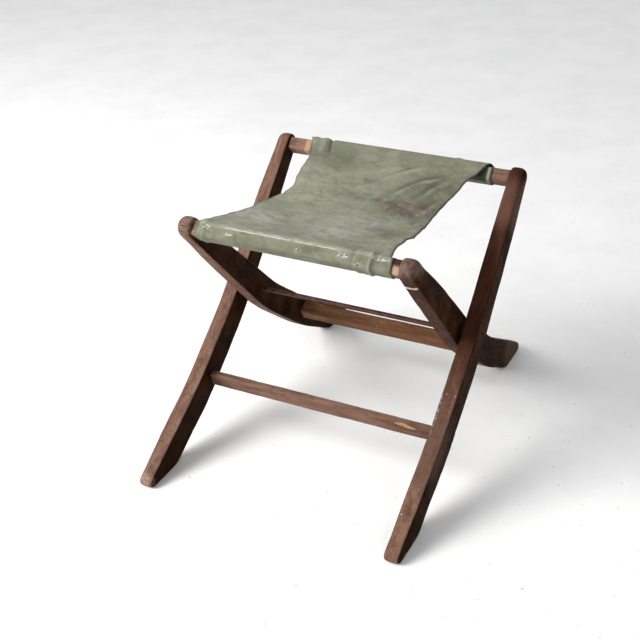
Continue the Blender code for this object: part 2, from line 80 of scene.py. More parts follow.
class Shader:
    """A Principled material built from nodes, all of them in object or cloth coordinates."""

    def __init__(self, name):
        self.material = bpy.data.materials.new(name)
        self.material.use_nodes = True
        self.tree = self.material.node_tree
        self.tree.nodes.clear()
        self.surface = self.tree.nodes.new("ShaderNodeBsdfPrincipled")
        output = self.tree.nodes.new("ShaderNodeOutputMaterial")
        self.tree.links.new(self.surface.outputs[0], output.inputs["Surface"])

    def set(self, socket, value):
        if isinstance(value, bpy.types.NodeSocket):
            self.tree.links.new(value, socket)
        elif socket.type == "RGBA" and len(value) == 3:
            socket.default_value = (*value, 1)
        else:
            socket.default_value = value

    def add(self, kind, inputs, output=0, **settings):
        node = self.tree.nodes.new("ShaderNode" + kind)
        for key, value in settings.items():
            setattr(node, key, value)
        for key, value in inputs.items():
            self.set(node.inputs[key], value)
        return node.outputs[output]

    def finish(self, **inputs):
        for key, value in inputs.items():
            self.set(self.surface.inputs[key.replace("_", " ")], value)
        return self.material

    def position(self):
        return self.add("TexCoord", {}, "Object")

    def cloth_position(self):
        return self.add("UVMap", {}, 0, uv_map="Cloth")

    def math(self, operation, a, b=0.0, c=0.0, clamp=False):
        return self.add("Math", {0: a, 1: b, 2: c}, operation=operation, use_clamp=clamp)

    def vector(self, operation, a, b=(0, 0, 0)):
        output = 1 if operation in ("LENGTH", "DISTANCE", "DOT_PRODUCT") else 0
        return self.add("VectorMath", {0: a, 1: b}, output, operation=operation)

    def turned(self, vector, rotation):
        return self.add("Mapping", {"Vector": vector, "Rotation": rotation})

    def noise(self, vector, scale, detail=3.0, rough=0.5, distortion=0.0):
        return self.add(
            "TexNoise",
            {"Vector": vector, "Scale": scale, "Detail": detail, "Roughness": rough,
             "Distortion": distortion},
        )

    def spread(self, value, low, high, to_low=0.0, to_high=1.0):
        return self.add(
            "MapRange",
            {"Value": value, "From Min": low, "From Max": high, "To Min": to_low, "To Max": to_high},
            interpolation_type="SMOOTHSTEP",
        )

    def mix(self, share, a, b, blend="MIX"):
        return self.add("Mix", {0: share, 6: a, 7: b}, 2, data_type="RGBA", blend_type=blend)

    def axes(self, vector):
        node = self.tree.nodes.new("ShaderNodeSeparateXYZ")
        self.set(node.inputs[0], vector)
        return node.outputs

    def bump(self, height, distance, strength=1.0, normal=None):
        inputs = {"Height": height, "Distance": distance, "Strength": strength}
        if normal is not None:
            inputs["Normal"] = normal
        return self.add("Bump", inputs)

    def specks(self, vector, scale, size, share):
        """Small round dots, 1 inside, in a share of the cells of a scattered grid."""
        node = self.tree.nodes.new("ShaderNodeTexVoronoi")
        self.set(node.inputs["Vector"], vector)
        self.set(node.inputs["Scale"], scale)
        chosen = self.math("LESS_THAN", self.axes(node.outputs["Color"])[0], share)
        size_of = self.math("MULTIPLY", self.axes(node.outputs["Color"])[1], size)
        near = self.math("LESS_THAN", node.outputs["Distance"], size_of)
        return self.math("MULTIPLY", chosen, near)


STAIN_DARK, STAIN, STAIN_GRAIN = (0.013, 0.0038, 0.0015), (0.045, 0.0160, 0.0066), (0.060, 0.027, 0.015)
RUBBED_DARK, RUBBED, RUBBED_GRAIN = (0.108, 0.054, 0.036), (0.208, 0.120, 0.087), (0.280, 0.168, 0.125)
RUBBED_BLOTCH = (0.092, 0.047, 0.032)
GREYED_DARK, GREYED = (0.098, 0.062, 0.046), (0.205, 0.142, 0.110)
PORE = (0.010, 0.005, 0.003)


def wood_material(name, grain, seed, tones, tops, warmth, marks):
    """Old stained hardwood: dark broad faces, paler rubbed edges, grain along the piece.

    tones are the rubbed faces' brightness at the foot and above the pivot, tops is the share of
    grey at the leg's top, and warmth is how golden the rubbed faces are.
    """
    s = Shader(name)
    place = s.position()
    moved = s.vector("ADD", place, (seed * 0.37, seed * 0.23, seed * 0.51))
    turn = grain.rotation_difference(Vector((0, 0, 1))).to_euler()
    along = s.turned(moved, tuple(turn))
    streak = s.vector("MULTIPLY", along, (1, 1, 0.045))
    long_streak = s.vector("MULTIPLY", along, (1, 1, 0.018))
    fine = s.noise(streak, 520, 5, 0.62, 0.15)
    broad = s.noise(s.vector("MULTIPLY", along, (1, 1, 0.16)), 62, 4, 0.62, 0.7)
    pores = s.spread(s.noise(long_streak, 900, 2, 0.5), 0.60, 0.72)
    blotch = s.noise(moved, 24, 3, 0.55)
    blotch_fine = s.noise(moved, 120, 4, 0.6)

    geometry = s.tree.nodes.new("ShaderNodeNewGeometry")
    normal = s.add("VectorTransform", {0: geometry.outputs["Normal"]}, vector_type="NORMAL",
                   convert_from="WORLD", convert_to="OBJECT")
    side = s.math("ABSOLUTE", s.axes(normal)[0])
    wobble = s.math("MULTIPLY_ADD", blotch, 0.30, -0.15)
    edge_face = s.spread(s.math("ADD", side, wobble), 0.42, 0.78, 1.0, 0.0)
    worn = s.spread(geometry.outputs["Pointiness"], 0.515, 0.60)
    chips = s.math("MULTIPLY", worn, s.spread(blotch_fine, 0.50, 0.62))

    deep = s.mix(s.spread(blotch, 0.35, 0.70), STAIN_DARK, STAIN)
    low_down = s.spread(s.axes(place)[2], 0.02, 0.20, 0.55, 1.0)
    deep = s.mix(1.0, deep, s.add("CombineXYZ", {0: low_down, 1: low_down, 2: low_down}), "MULTIPLY")
    rubbed = s.mix(s.spread(broad, 0.30, 0.72), RUBBED_DARK, RUBBED)
    rubbed = s.mix(s.math("MULTIPLY", s.spread(fine, 0.42, 0.72), 0.42), rubbed, RUBBED_GRAIN)
    rubbed = s.mix(s.math("MULTIPLY", s.spread(blotch_fine, 0.50, 0.72), 0.35), rubbed, RUBBED_BLOTCH)
    deep = s.mix(s.math("MULTIPLY", s.spread(fine, 0.42, 0.72), 0.50), deep, STAIN_GRAIN)
    tone_low, tone_high = tones
    rubbed = s.mix(warmth, rubbed, s.mix(1.0, rubbed, (1.10, 0.92, 0.66), "MULTIPLY"))
    tone = s.spread(s.axes(place)[2], 0.03, 0.26, tone_low, tone_high)
    tone = s.math("MULTIPLY", tone, s.spread(blotch, 0.25, 0.75, 0.80, 1.18))
    stained = s.mix(1.0, rubbed, (0.62, 0.42, 0.34), "MULTIPLY")
    rubbed = s.mix(s.spread(tone, 0.25, 1.0), s.mix(1.0, stained, (0.45, 0.42, 0.40), "MULTIPLY"), rubbed)
    colour = s.mix(edge_face, deep, rubbed)
    colour = s.mix(s.math("MULTIPLY", pores, 0.55), colour, PORE)
    colour = s.mix(s.math("MULTIPLY", s.spread(blotch_fine, 0.55, 0.8), 0.30), colour,
                   (0.075, 0.034, 0.017))
    colour = s.mix(s.math("MULTIPLY", worn, 0.22), colour, (0.150, 0.085, 0.058))
    colour = s.mix(s.math("MULTIPLY", chips, 0.35), colour, (0.300, 0.170, 0.100))
    if tops:
        ragged = s.math("MULTIPLY", s.math("SUBTRACT", blotch_fine, 0.5), 0.02)
        height = s.math("ADD", s.axes(place)[2], ragged)
        grey = s.math("MULTIPLY", s.spread(height, 0.385, 0.412), tops)
        colour = s.mix(grey, colour, s.mix(s.spread(blotch_fine, 0.3, 0.7), GREYED_DARK, GREYED))
    dots = s.specks(moved, 75, 0.10, 0.07)
    colour = s.mix(s.math("MULTIPLY", dots, 0.7), colour, (0.45, 0.41, 0.36))
    for mark in marks:
        colour = mark(s, place, blotch_fine, edge_face, colour)

    rough = s.spread(blotch_fine, 0.3, 0.7, 0.44, 0.66)
    rough = s.math("ADD", rough, s.math("MULTIPLY", edge_face, 0.10), clamp=True)
    height = s.math("SUBTRACT", s.math("MULTIPLY", fine, 0.6), s.math("MULTIPLY", pores, 0.9))
    bump = s.bump(height, 0.00028, 0.8)
    bump = s.bump(blotch_fine, 0.0006, 0.45, bump)
    gloss = s.math("MULTIPLY_ADD", edge_face, 0.05, 0.012)
    return s.finish(Base_Color=colour, Roughness=rough, Normal=bump, Specular_IOR_Level=gloss)


def band_mark(point, along, half, ragged_by, facing, colour_to, strength):
    """A short rubbed band across one edge face of a piece, with a torn outline."""

    def paint(s, place, ragged, edge_face, colour):
        away = s.vector("SUBTRACT", place, tuple(point))
        distance = s.math("ABSOLUTE", s.vector("DOT_PRODUCT", away, tuple(along)))
        rough_edge = s.math("MULTIPLY_ADD", ragged, ragged_by * 2, -ragged_by)
        share = s.spread(s.math("ADD", distance, rough_edge), half * 0.6, half * 1.15, 1.0, 0.0)
        near = s.spread(s.vector("DOT_PRODUCT", away, tuple(facing)), 0.0, 0.004)
        share = s.math("MULTIPLY", s.math("MULTIPLY", share, near), s.spread(edge_face, 0.6, 0.9))
        return s.mix(s.math("MULTIPLY", share, strength), colour, colour_to)

    return paint


def crack_mark(point, along, down, half_length, wander, strength):
    """A thin dark check in the wood that wanders across one edge face."""

    def paint(s, place, ragged, edge_face, colour):
        away = s.vector("SUBTRACT", place, tuple(point))
        drift = s.math("MULTIPLY_ADD", s.noise(place, 260, 3, 0.6), wander * 2, -wander)
        off = s.math("ABSOLUTE", s.math("ADD", s.vector("DOT_PRODUCT", away, tuple(down)), drift))
        reach = s.math("ABSOLUTE", s.vector("DOT_PRODUCT", away, tuple(along)))
        share = s.math("MULTIPLY", s.spread(off, 0.0002, 0.0007, 1.0, 0.0),
                       s.spread(reach, half_length * 0.8, half_length, 1.0, 0.0))
        share = s.math("MULTIPLY", s.math("MULTIPLY", share, edge_face), strength)
        return s.mix(share, colour, (0.006, 0.003, 0.002))

    return paint


def patch_mark(middle, offset, size, colour_to, strength, threshold, edge_only=False):
    """A patch of another colour, such as rubbed or splashed wood: an ellipsoid, placed from the piece's
    middle, broken up by noise. The one on the right inner leg's foot is painted bounce light.
    """
    point = middle + Vector(offset)

    def paint(s, place, ragged, edge_face, colour):
        away = s.vector("SUBTRACT", place, tuple(point))
        scaled = s.vector("DIVIDE", away, tuple(size))
        inside = s.spread(s.vector("LENGTH", scaled), 0.55, 1.0, 1.0, 0.0)
        broken = s.spread(s.noise(place, 420, 3, 0.6), threshold - 0.04, threshold + 0.05)
        share = s.math("MULTIPLY", s.math("MULTIPLY", inside, broken), strength)
        if edge_only:
            share = s.math("MULTIPLY", share, s.spread(edge_face, 0.02, 0.35))
        return s.mix(share, colour, colour_to)

    return paint


RUST_DARK, RUST = (0.045, 0.018, 0.010), (0.16, 0.062, 0.028)


def steel_material(name, tint, rust, seed):
    """Old bare steel, dark and spotted with rust."""
    s = Shader(name)
    place = s.vector("ADD", s.position(), (seed, seed * 2, seed * 3))
    cloud = s.noise(place, 130, 5, 0.65)
    spots = s.noise(place, 900, 3, 0.6)
    rusted = s.math("MULTIPLY", s.spread(cloud, 0.42, 0.62), rust)
    colour = s.mix(s.spread(spots, 0.35, 0.7), tuple(c * 0.55 for c in tint), tint)
    colour = s.mix(rusted, colour, s.mix(s.spread(spots, 0.3, 0.7), RUST_DARK, RUST))
    rough = s.spread(cloud, 0.35, 0.65, 0.34, 0.72)
    metal = s.math("SUBTRACT", 1.0, s.math("MULTIPLY", rusted, 0.85), clamp=True)
    bump = s.bump(s.math("ADD", spots, cloud), 0.00018, 0.6)
    return s.finish(Base_Color=colour, Roughness=rough, Metallic=metal, Normal=bump)


THREAD = 0.85 * MM  # between two threads of the weave
# Blots on the cloth: centre, half sizes, colour, strength, then the noise that breaks them up:
# its scale, and the two values between which a blot appears
BLOTS = (
    ((-0.095, 0.150), (0.075, 0.050), (0.128, 0.134, 0.092), 0.80, 26, 0.22, 0.56),
    ((0.020, 0.175), (0.100, 0.040), (0.150, 0.155, 0.110), 0.70, 34, 0.30, 0.60),
    ((0.098, -0.070), (0.048, 0.042), (0.138, 0.134, 0.098), 0.78, 55, 0.28, 0.58),
    ((-0.115, -0.105), (0.055, 0.050), (0.370, 0.375, 0.318), 0.60, 40, 0.30, 0.60),
    ((0.100, 0.070), (0.090, 0.100), (0.130, 0.126, 0.090), 0.75, 22, 0.30, 0.60),
    ((0.085, 0.026), (0.070, 0.042), (0.082, 0.058, 0.042), 0.80, 60, 0.34, 0.58),
    ((0.088, 0.030), (0.055, 0.026), (0.150, 0.092, 0.070), 0.75, 150, 0.40, 0.60),
    ((0.088, 0.030), (0.050, 0.028), (0.290, 0.250, 0.215), 0.75, 240, 0.53, 0.64),
    ((0.015, 0.044), (0.100, 0.022), (0.118, 0.100, 0.070), 0.75, 50, 0.38, 0.60),
    ((-0.070, 0.040), (0.070, 0.026), (0.165, 0.150, 0.115), 0.65, 60, 0.42, 0.62),
    ((0.110, 0.095), (0.035, 0.080), (0.130, 0.128, 0.085), 0.70, 60, 0.42, 0.62),
    ((0.115, -0.015), (0.030, 0.040), (0.125, 0.115, 0.083), 0.75, 80, 0.42, 0.62),
    ((0.070, -0.045), (0.040, 0.030), (0.290, 0.300, 0.320), 0.70, 90, 0.42, 0.62),
    ((0.105, 0.020), (0.030, 0.022), (0.250, 0.205, 0.170), 0.60, 140, 0.42, 0.62),
    ((0.025, -0.115), (0.050, 0.045), (0.380, 0.385, 0.335), 0.55, 45, 0.35, 0.60),
    ((-0.020, -0.160), (0.110, 0.030), (0.165, 0.168, 0.122), 0.50, 55, 0.42, 0.62),
    ((-0.118, 0.055), (0.018, 0.050), (0.310, 0.285, 0.225), 0.45, 70, 0.42, 0.62),
    ((-0.148, -0.115), (0.010, 0.030), (0.070, 0.062, 0.045), 0.80, 150, 0.42, 0.62),
)


def canvas_material():
    """Coated green-grey canvas: a filled weave, rubbed paint, brown stains and white scuffs."""
    s = Shader("green_canvas")
    place = s.cloth_position()
    x, y, _ = s.axes(place)
    weave_x = s.math("SINE", s.math("MULTIPLY", x, 2 * math.pi / THREAD))
    weave_y = s.math("SINE", s.math("MULTIPLY", y, 2 * math.pi / THREAD))
    weave = s.math("MULTIPLY", weave_x, weave_y)
    cloud = s.noise(place, 11, 4, 0.55, 0.4)
    cloud_mid = s.noise(place, 38, 4, 0.6, 0.3)
    cloud_fine = s.noise(place, 190, 4, 0.6)
    drag = s.noise(s.vector("MULTIPLY", place, (0.30, 1.0, 1.0)), 60, 4, 0.6, 0.5)

    colour = s.mix(s.spread(cloud, 0.30, 0.70), (0.208, 0.213, 0.153), (0.268, 0.274, 0.204))
    colour = s.mix(s.math("MULTIPLY", s.spread(drag, 0.45, 0.75), 0.45), colour, (0.318, 0.326, 0.262))
    colour = s.mix(s.math("MULTIPLY", s.spread(drag, 0.52, 0.30), 0.55), colour, (0.138, 0.138, 0.094))
    colour = s.mix(s.math("MULTIPLY", s.spread(cloud_mid, 0.52, 0.74), 0.50), colour, (0.145, 0.146, 0.100))
    slanted = s.vector("MULTIPLY", s.turned(place, (0, 0, math.radians(24))), (0.22, 1.0, 1.0))
    smear = s.noise(slanted, 130, 3, 0.6, 0.8)
    colour = s.mix(s.math("MULTIPLY", s.spread(smear, 0.56, 0.72), 0.38), colour, (0.350, 0.358, 0.300))
    colour = s.mix(s.math("MULTIPLY", s.spread(smear, 0.44, 0.28), 0.34), colour, (0.120, 0.120, 0.082))
    colour = s.mix(s.math("MULTIPLY", s.spread(cloud_fine, 0.58, 0.80), 0.22), colour, (0.345, 0.352, 0.305))
    colour = s.mix(s.math("MULTIPLY", s.spread(weave, -0.8, 0.9), 0.05), colour, (0.10, 0.11, 0.08))

    # Crumpled cloth: thin creases along the level lines of a smooth noise, at two sizes
    turned = s.turned(place, (0, 0, math.radians(28)))
    folds = s.noise(s.vector("MULTIPLY", turned, (0.55, 1.0, 1.0)), 17, 3, 0.55, 1.1)
    crease = s.spread(s.math("ABSOLUTE", s.math("SUBTRACT", folds, 0.5)), 0.0, 0.028, 1.0, 0.0)
    folds_small = s.noise(turned, 52, 3, 0.6, 0.9)
    crease_small = s.spread(s.math("ABSOLUTE", s.math("SUBTRACT", folds_small, 0.5)), 0.0, 0.035, 1.0, 0.0)
    used = s.spread(x, -0.02, 0.10, 0.35, 1.0)
    crumple = s.math("MULTIPLY", s.math("MAXIMUM", crease, s.math("MULTIPLY", crease_small, 0.55)), used)
    # Painted shade along the creases, and a painted highlight on one side of each larger fold
    colour = s.mix(s.math("MULTIPLY", crumple, 0.14), colour, (0.105, 0.104, 0.072))
    sunlit = s.math("MULTIPLY", s.spread(folds, 0.52, 0.68), used)
    colour = s.mix(s.math("MULTIPLY", sunlit, 0.30), colour, (0.330, 0.340, 0.285))

    def blot(colour, centre, size, to, strength, scale, low, high):
        away = s.vector("SUBTRACT", place, (*centre, 0))
        reach = s.vector("LENGTH", s.vector("DIVIDE", away, (*size, 1)))
        inside = s.spread(reach, 0.25, 1.0, 1.0, 0.0)
        broken = s.spread(s.noise(place, scale, 5, 0.65, 0.6), low, high)
        share = s.math("MULTIPLY", s.math("MULTIPLY", inside, broken), strength)
        return s.mix(share, colour, to)

    for row in BLOTS:
        colour = blot(colour, *row)

    rough = s.spread(cloud_mid, 0.3, 0.7, 0.50, 0.70)
    bump = s.bump(weave, 0.00010, 0.35)
    bump = s.bump(cloud_fine, 0.0008, 0.55, bump)
    bump = s.bump(smear, 0.0012, 0.45, bump)
    bump = s.bump(cloud_mid, 0.0022, 0.45, bump)
    bump = s.bump(s.math("MULTIPLY", crumple, -1.0), 0.0008, 0.35, bump)
    bump = s.bump(folds, 0.0060, 0.35, bump)
    return s, place, (x, y), colour, rough, bump, (cloud, cloud_mid, cloud_fine)


# ------------------------------------------------------------------ wooden relief


RELIEF_FROM = 1 / 160.0  # height above the floor at which the relief is whole
SHOULDER_REACH = 4 * MM  # how far from its end a rail's shoulder is pressed
ROUNDING_STEPS = 24
# Rounding by height above the floor: slope, offset and the most it comes to
FOOT_ROUNDING = (-22.0, 1.25, 0.7)
TOP_ROUNDING = (40.0, -15.2, 0.6)


def relief_group():
    """Geometry nodes that give a piece its hand-worn surface: waviness, grain ridges, dents."""
    group = bpy.data.node_groups.new("wood_relief", "GeometryNodeTree")
    face = group.interface
    face.new_socket("Geometry", in_out="INPUT", socket_type="NodeSocketGeometry")
    for name in ("Turn", "Shift"):
        face.new_socket(name, in_out="INPUT", socket_type="NodeSocketVector")
    for name in ("Waviness", "Grain", "Dents", "Seat", "Shoulder", "Round"):
        face.new_socket(name, in_out="INPUT", socket_type="NodeSocketFloat")
    face.new_socket("Geometry", in_out="OUTPUT", socket_type="NodeSocketGeometry")
    new = group.nodes.new
    link = group.links.new
    source = new("NodeGroupInput")
    sink = new("NodeGroupOutput")

    def maths(operation, a, b, c=0.0):
        node = new("ShaderNodeMath")
        node.operation = operation
        for socket, value in zip(node.inputs, (a, b, c)):
            if isinstance(value, bpy.types.NodeSocket):
                link(value, socket)
            else:
                socket.default_value = value
        return node.outputs[0]

    def vectors(operation, a, b):
        node = new("ShaderNodeVectorMath")
        node.operation = operation
        for index, value in ((0, a), (1, b)):
            if isinstance(value, bpy.types.NodeSocket):
                link(value, node.inputs[index])
            else:
                node.inputs[index].default_value = value
        return node.outputs[0]

    def held(value, most=1.0):
        """The value kept between 0 and most."""
        return maths("MINIMUM", maths("MAXIMUM", value, 0.0), most)

    def scaled(vector, factor):
        node = new("ShaderNodeVectorMath")
        node.operation = "SCALE"
        link(vector, node.inputs[0])
        link(factor, node.inputs["Scale"])
        return node.outputs[0]

    def cloud(vector, scale, detail):
        node = new("ShaderNodeTexNoise")
        link(vector, node.inputs["Vector"])
        node.inputs["Scale"].default_value = scale
        node.inputs["Detail"].default_value = detail
        return node.outputs[0]

    def rounding_at(slope, offset, most):
        return held(maths("MULTIPLY_ADD", height, slope, offset), most)

    here = new("GeometryNodeInputPosition").outputs[0]
    place = vectors("ADD", here, source.outputs["Shift"])
    turn = new("ShaderNodeVectorRotate")
    turn.rotation_type = "EULER_XYZ"
    link(place, turn.inputs["Vector"])
    link(source.outputs["Turn"], turn.inputs["Rotation"])
    streak = vectors("MULTIPLY", turn.outputs[0], (1, 1, 0.05))
    wavy = maths("SUBTRACT", cloud(place, 26, 2), 0.5)
    ridge = maths("SUBTRACT", cloud(streak, 330, 2), 0.5)
    pit = maths("MAXIMUM", maths("SUBTRACT", cloud(place, 95, 1), 0.66), 0.0)
    total = maths("MULTIPLY", wavy, source.outputs["Waviness"])
    total = maths("ADD", total, maths("MULTIPLY", ridge, source.outputs["Grain"]))
    total = maths("SUBTRACT", total, maths("MULTIPLY", pit, source.outputs["Dents"]))
    # The soles stay flat on the floor
    parts = new("ShaderNodeSeparateXYZ")
    link(here, parts.inputs[0])
    across, _, height = parts.outputs
    total = maths("MULTIPLY", total, held(maths("DIVIDE", height, RELIEF_FROM)))
    relief = scaled(new("GeometryNodeInputNormal").outputs[0], total)
    # A rail's shoulders press into the legs, so that no gap shows at the joint
    past = maths("SUBTRACT", maths("ABSOLUTE", across, 0.0), source.outputs["Shoulder"])
    pressed = held(maths("MULTIPLY_ADD", past, 1 / SHOULDER_REACH, 1.0))
    pressed = maths("MULTIPLY", pressed, source.outputs["Seat"])
    pressed = maths("MULTIPLY", pressed, maths("SIGN", across, 0.0))
    outwards = new("ShaderNodeCombineXYZ")
    link(pressed, outwards.inputs[0])
    # Feet and tops are rounded off by use
    eased = new("GeometryNodeBlurAttribute")
    eased.data_type = "FLOAT_VECTOR"
    link(here, next(i for i in eased.inputs if i.name == "Value" and i.type == "VECTOR"))
    eased.inputs["Iterations"].default_value = ROUNDING_STEPS
    eased_place = next(o for o in eased.outputs if o.type == "VECTOR")
    foot = rounding_at(*FOOT_ROUNDING)
    top = rounding_at(*TOP_ROUNDING)
    amount = maths("MULTIPLY", maths("MAXIMUM", foot, top), source.outputs["Round"])
    rounding = scaled(vectors("SUBTRACT", eased_place, here), amount)
    shift = new("GeometryNodeSetPosition")
    link(source.outputs["Geometry"], shift.inputs["Geometry"])
    link(vectors("ADD", vectors("ADD", relief, rounding), outwards.outputs[0]), shift.inputs["Offset"])
    link(shift.outputs[0], sink.inputs[0])
    return group


RELIEF = relief_group()
WAVINESS = 1.3 * MM
RIDGES = 0.34 * MM
DENTS = 4.5 * MM
LEG_SKIN = 1.3 * MM  # size of the cells of a piece's skin
RAIL_SKIN = 1.1 * MM
PRESS = 1.1 * MM  # how deep a rail's shoulders press into the legs


def wear(node, grain, seed, is_rail):
    """Gives a wooden CAD node a dense skin and the relief of worn wood."""
    obj = NODES[node]
    skin = obj.modifiers.new("skin", "REMESH")
    skin.mode = "VOXEL"
    skin.voxel_size = RAIL_SKIN if is_rail else LEG_SKIN
    skin.use_smooth_shade = True
    ease = obj.modifiers.new("ease", "SMOOTH")
    ease.factor = 0.5
    ease.iterations = 2
    relief = obj.modifiers.new("relief", "NODES")
    relief.node_group = RELIEF
    low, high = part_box(node)
    settings = {
        "Turn": list(grain.rotation_difference(Vector((0, 0, 1))).to_euler()),
        "Shift": [seed * 0.31, seed * 0.17, seed * 0.43],
        "Waviness": WAVINESS,
        "Grain": RIDGES,
        "Dents": DENTS,
        "Seat": PRESS if is_rail else 0.0,
        "Round": 0.0 if is_rail else 1.0,
        "Shoulder": (high.x - low.x) / 2 - TENON,
    }
    for item in RELIEF.interface.items_tree:
        if item.in_out == "INPUT" and item.name in settings:
            relief[item.identifier] = settings[item.name]


def dress(node, material):
    """Puts one material on a whole CAD node."""
    slots = NODES[node].material_slots
    for slot in slots:
        slot.material = material
    if not slots:
        NODES[node].data.materials.append(material)


CREAM = (0.62, 0.56, 0.43)
BARE = (0.46, 0.29, 0.17)
BARE_GOLD = (0.46, 0.29, 0.155)
BARE_PALE = (0.50, 0.33, 0.19)
BARE_PINK = (0.44, 0.285, 0.20)
BARE_DULL = (0.36, 0.26, 0.19)
TAN = (0.26, 0.155, 0.11)
TAN_WARM = (0.26, 0.15, 0.095)
RED_BROWN = (0.135, 0.070, 0.050)
BROWN = (0.092, 0.052, 0.038)
FOOT_BOUNCE_LIGHT = (0.085, 0.050, 0.034)
NEAR_BLACK = (0.030, 0.013, 0.009)
LIMED = (0.42, 0.40, 0.37)
END_GRAIN = (0.40, 0.31, 0.27)
DUSTY = (0.36, 0.29, 0.23)
PAINT_DROP = (0.85, 0.80, 0.72)

LEFT_OUTER = centre_of("outer_leg_left")
RIGHT_OUTER = centre_of("outer_leg_right")
RIGHT_INNER = centre_of("inner_leg_right")
STRETCHER = centre_of("front_stretcher")
TOP_LEFT = FRONT_RAIL - ALONG_RAILS * RIGHT_INNER.x
TOP_RIGHT = FRONT_RAIL + ALONG_RAILS * RIGHT_INNER.x


def timber(node, grain, seed, tones, tops=0.0, warmth=0.0, marks=()):
    """Gives a wooden CAD node its own stained material and its worn relief."""
    dress(node, wood_material("wood_" + node, grain, seed, tones, tops, warmth, marks))
    wear(node, grain, seed, is_rail=grain == ALONG_RAILS)


timber("outer_leg_left", UP_REAR, 1.0, (0.95, 1.0), marks=[
    patch_mark(LEFT_OUTER, (0, 0.1917, 0.1154), (0.016, 0.030, 0.030), TAN_WARM, 0.6, 0.52),
    patch_mark(LEFT_OUTER, (0, -0.2563, -0.1976), (0.016, 0.014, 0.013), END_GRAIN, 0.55, 0.50),
])
timber("outer_leg_right", UP_REAR, 2.0, (1.15, 0.22), warmth=0.2, marks=[
    patch_mark(RIGHT_OUTER, (0, 0.2217, 0.1504), (0.030, 0.070, 0.060), RED_BROWN, 0.60, 0.34),
    patch_mark(RIGHT_OUTER, (-0.002, -0.1233, -0.0946), (0.030, 0.080, 0.075), BROWN, 0.6, 0.32),
    patch_mark(RIGHT_OUTER, (-0.012, -0.0533, -0.0846), (0.0050, 0.060, 0.050), LIMED, 0.62, 0.54, True),
    patch_mark(RIGHT_OUTER, (-0.0075, -0.2048, -0.1641), (0.0035, 0.0035, 0.0035), PAINT_DROP, 1.0, 0.20),
    patch_mark(RIGHT_OUTER, (-0.002, -0.2233, -0.1796), (0.010, 0.030, 0.030), DUSTY, 0.5, 0.66),
])
timber("inner_leg_left", UP_FRONT, 3.0, (1.15, 0.95), tops=0.75, marks=[
    crack_mark(TOP_LEFT + BELOW_FRONT * 0.004, ALONG_RAILS, BELOW_FRONT, 0.012, 0.003, 0.9),
    crack_mark(TOP_LEFT + BELOW_FRONT * 0.012, ALONG_RAILS, BELOW_FRONT, 0.007, 0.002, 0.6),
])
timber("inner_leg_right", UP_FRONT, 4.0, (0.75, 0.42), tops=0.72, warmth=0.4, marks=[
    # Painted bounce light on the shaded outer face of the rear foot
    patch_mark(RIGHT_INNER, (0.013, 0.2233, -0.1696), (0.030, 0.070, 0.055), FOOT_BOUNCE_LIGHT, 0.8, 0.25),
    band_mark(TOP_RIGHT - UP_FRONT * 0.0225, UP_FRONT, 0.0038, 0.0016, BELOW_FRONT, CREAM, 0.92),
])
timber("rear_seat_rail", ALONG_RAILS, 5.0, (1.0, 1.0), marks=[
    patch_mark(REAR_RAIL, (-0.163, 0, 0), (0.008, 0.030, 0.030), BARE, 0.75, 0.36),
    patch_mark(REAR_RAIL, (-0.176, 0, 0), (0.014, 0.030, 0.030), TAN, 0.7, 0.50),
])
timber("front_seat_rail", ALONG_RAILS, 6.0, (1.0, 1.0), marks=[
    patch_mark(FRONT_RAIL, (0.161, -0.0105, 0.0015), (0.012, 0.009, 0.0090), BARE_PINK, 0.9, 0.36),
    patch_mark(FRONT_RAIL, (0.163, -0.004, 0.0130), (0.022, 0.010, 0.0055), NEAR_BLACK, 0.85, 0.25),
    patch_mark(FRONT_RAIL, (-0.164, -0.010, 0.0), (0.010, 0.012, 0.012), BARE_DULL, 0.6, 0.44),
])
timber("front_stretcher", ALONG_RAILS, 7.0, (1.1, 1.1), marks=[
    patch_mark(STRETCHER, (0.148, -0.005, 0.0075), (0.018, 0.009, 0.0038), BARE_GOLD, 0.8, 0.38),
    patch_mark(STRETCHER, (0.160, -0.005, 0.0050), (0.013, 0.009, 0.0034), BARE_PALE, 0.8, 0.40),
])
timber("rear_stretcher", ALONG_RAILS, 8.0, (1.05, 1.05), warmth=1.0)

rod_steel = steel_material("rod_steel", (0.090, 0.042, 0.038), 1.0, 0.1)
nail_steel = steel_material("nail_steel", (0.11, 0.09, 0.085), 0.9, 0.7)
washer_steel = steel_material("washer_steel", (0.075, 0.065, 0.060), 0.6, 1.3)
tack_steel = steel_material("tack_steel", (0.16, 0.145, 0.13), 0.7, 2.1)
for node in NODES:
    if node.startswith("tack_"):
        dress(node, tack_steel)
    elif node.startswith(("brad_", "rod_nail_")):
        dress(node, nail_steel)
    elif node.startswith("spacer_"):
        dress(node, washer_steel)
dress("pivot_rod", rod_steel)


# ------------------------------------------------------------------ canvas


def rail_axes(side):
    """Section axes of a rail: outwards over the seat's end, and inwards."""
    outward = Vector((side * math.cos(LEG_SLOPE), math.sin(LEG_SLOPE)))
    inward = Vector((-side * math.sin(LEG_SLOPE), math.cos(LEG_SLOPE)))
    return outward, inward


def section_arc(centre, radius, start, end, steps):
    """Points along an arc, from one angle to another."""
    return [
        centre + radius * Vector((math.cos(a), math.sin(a)))
        for a in np.linspace(start, end, steps + 1)
    ]


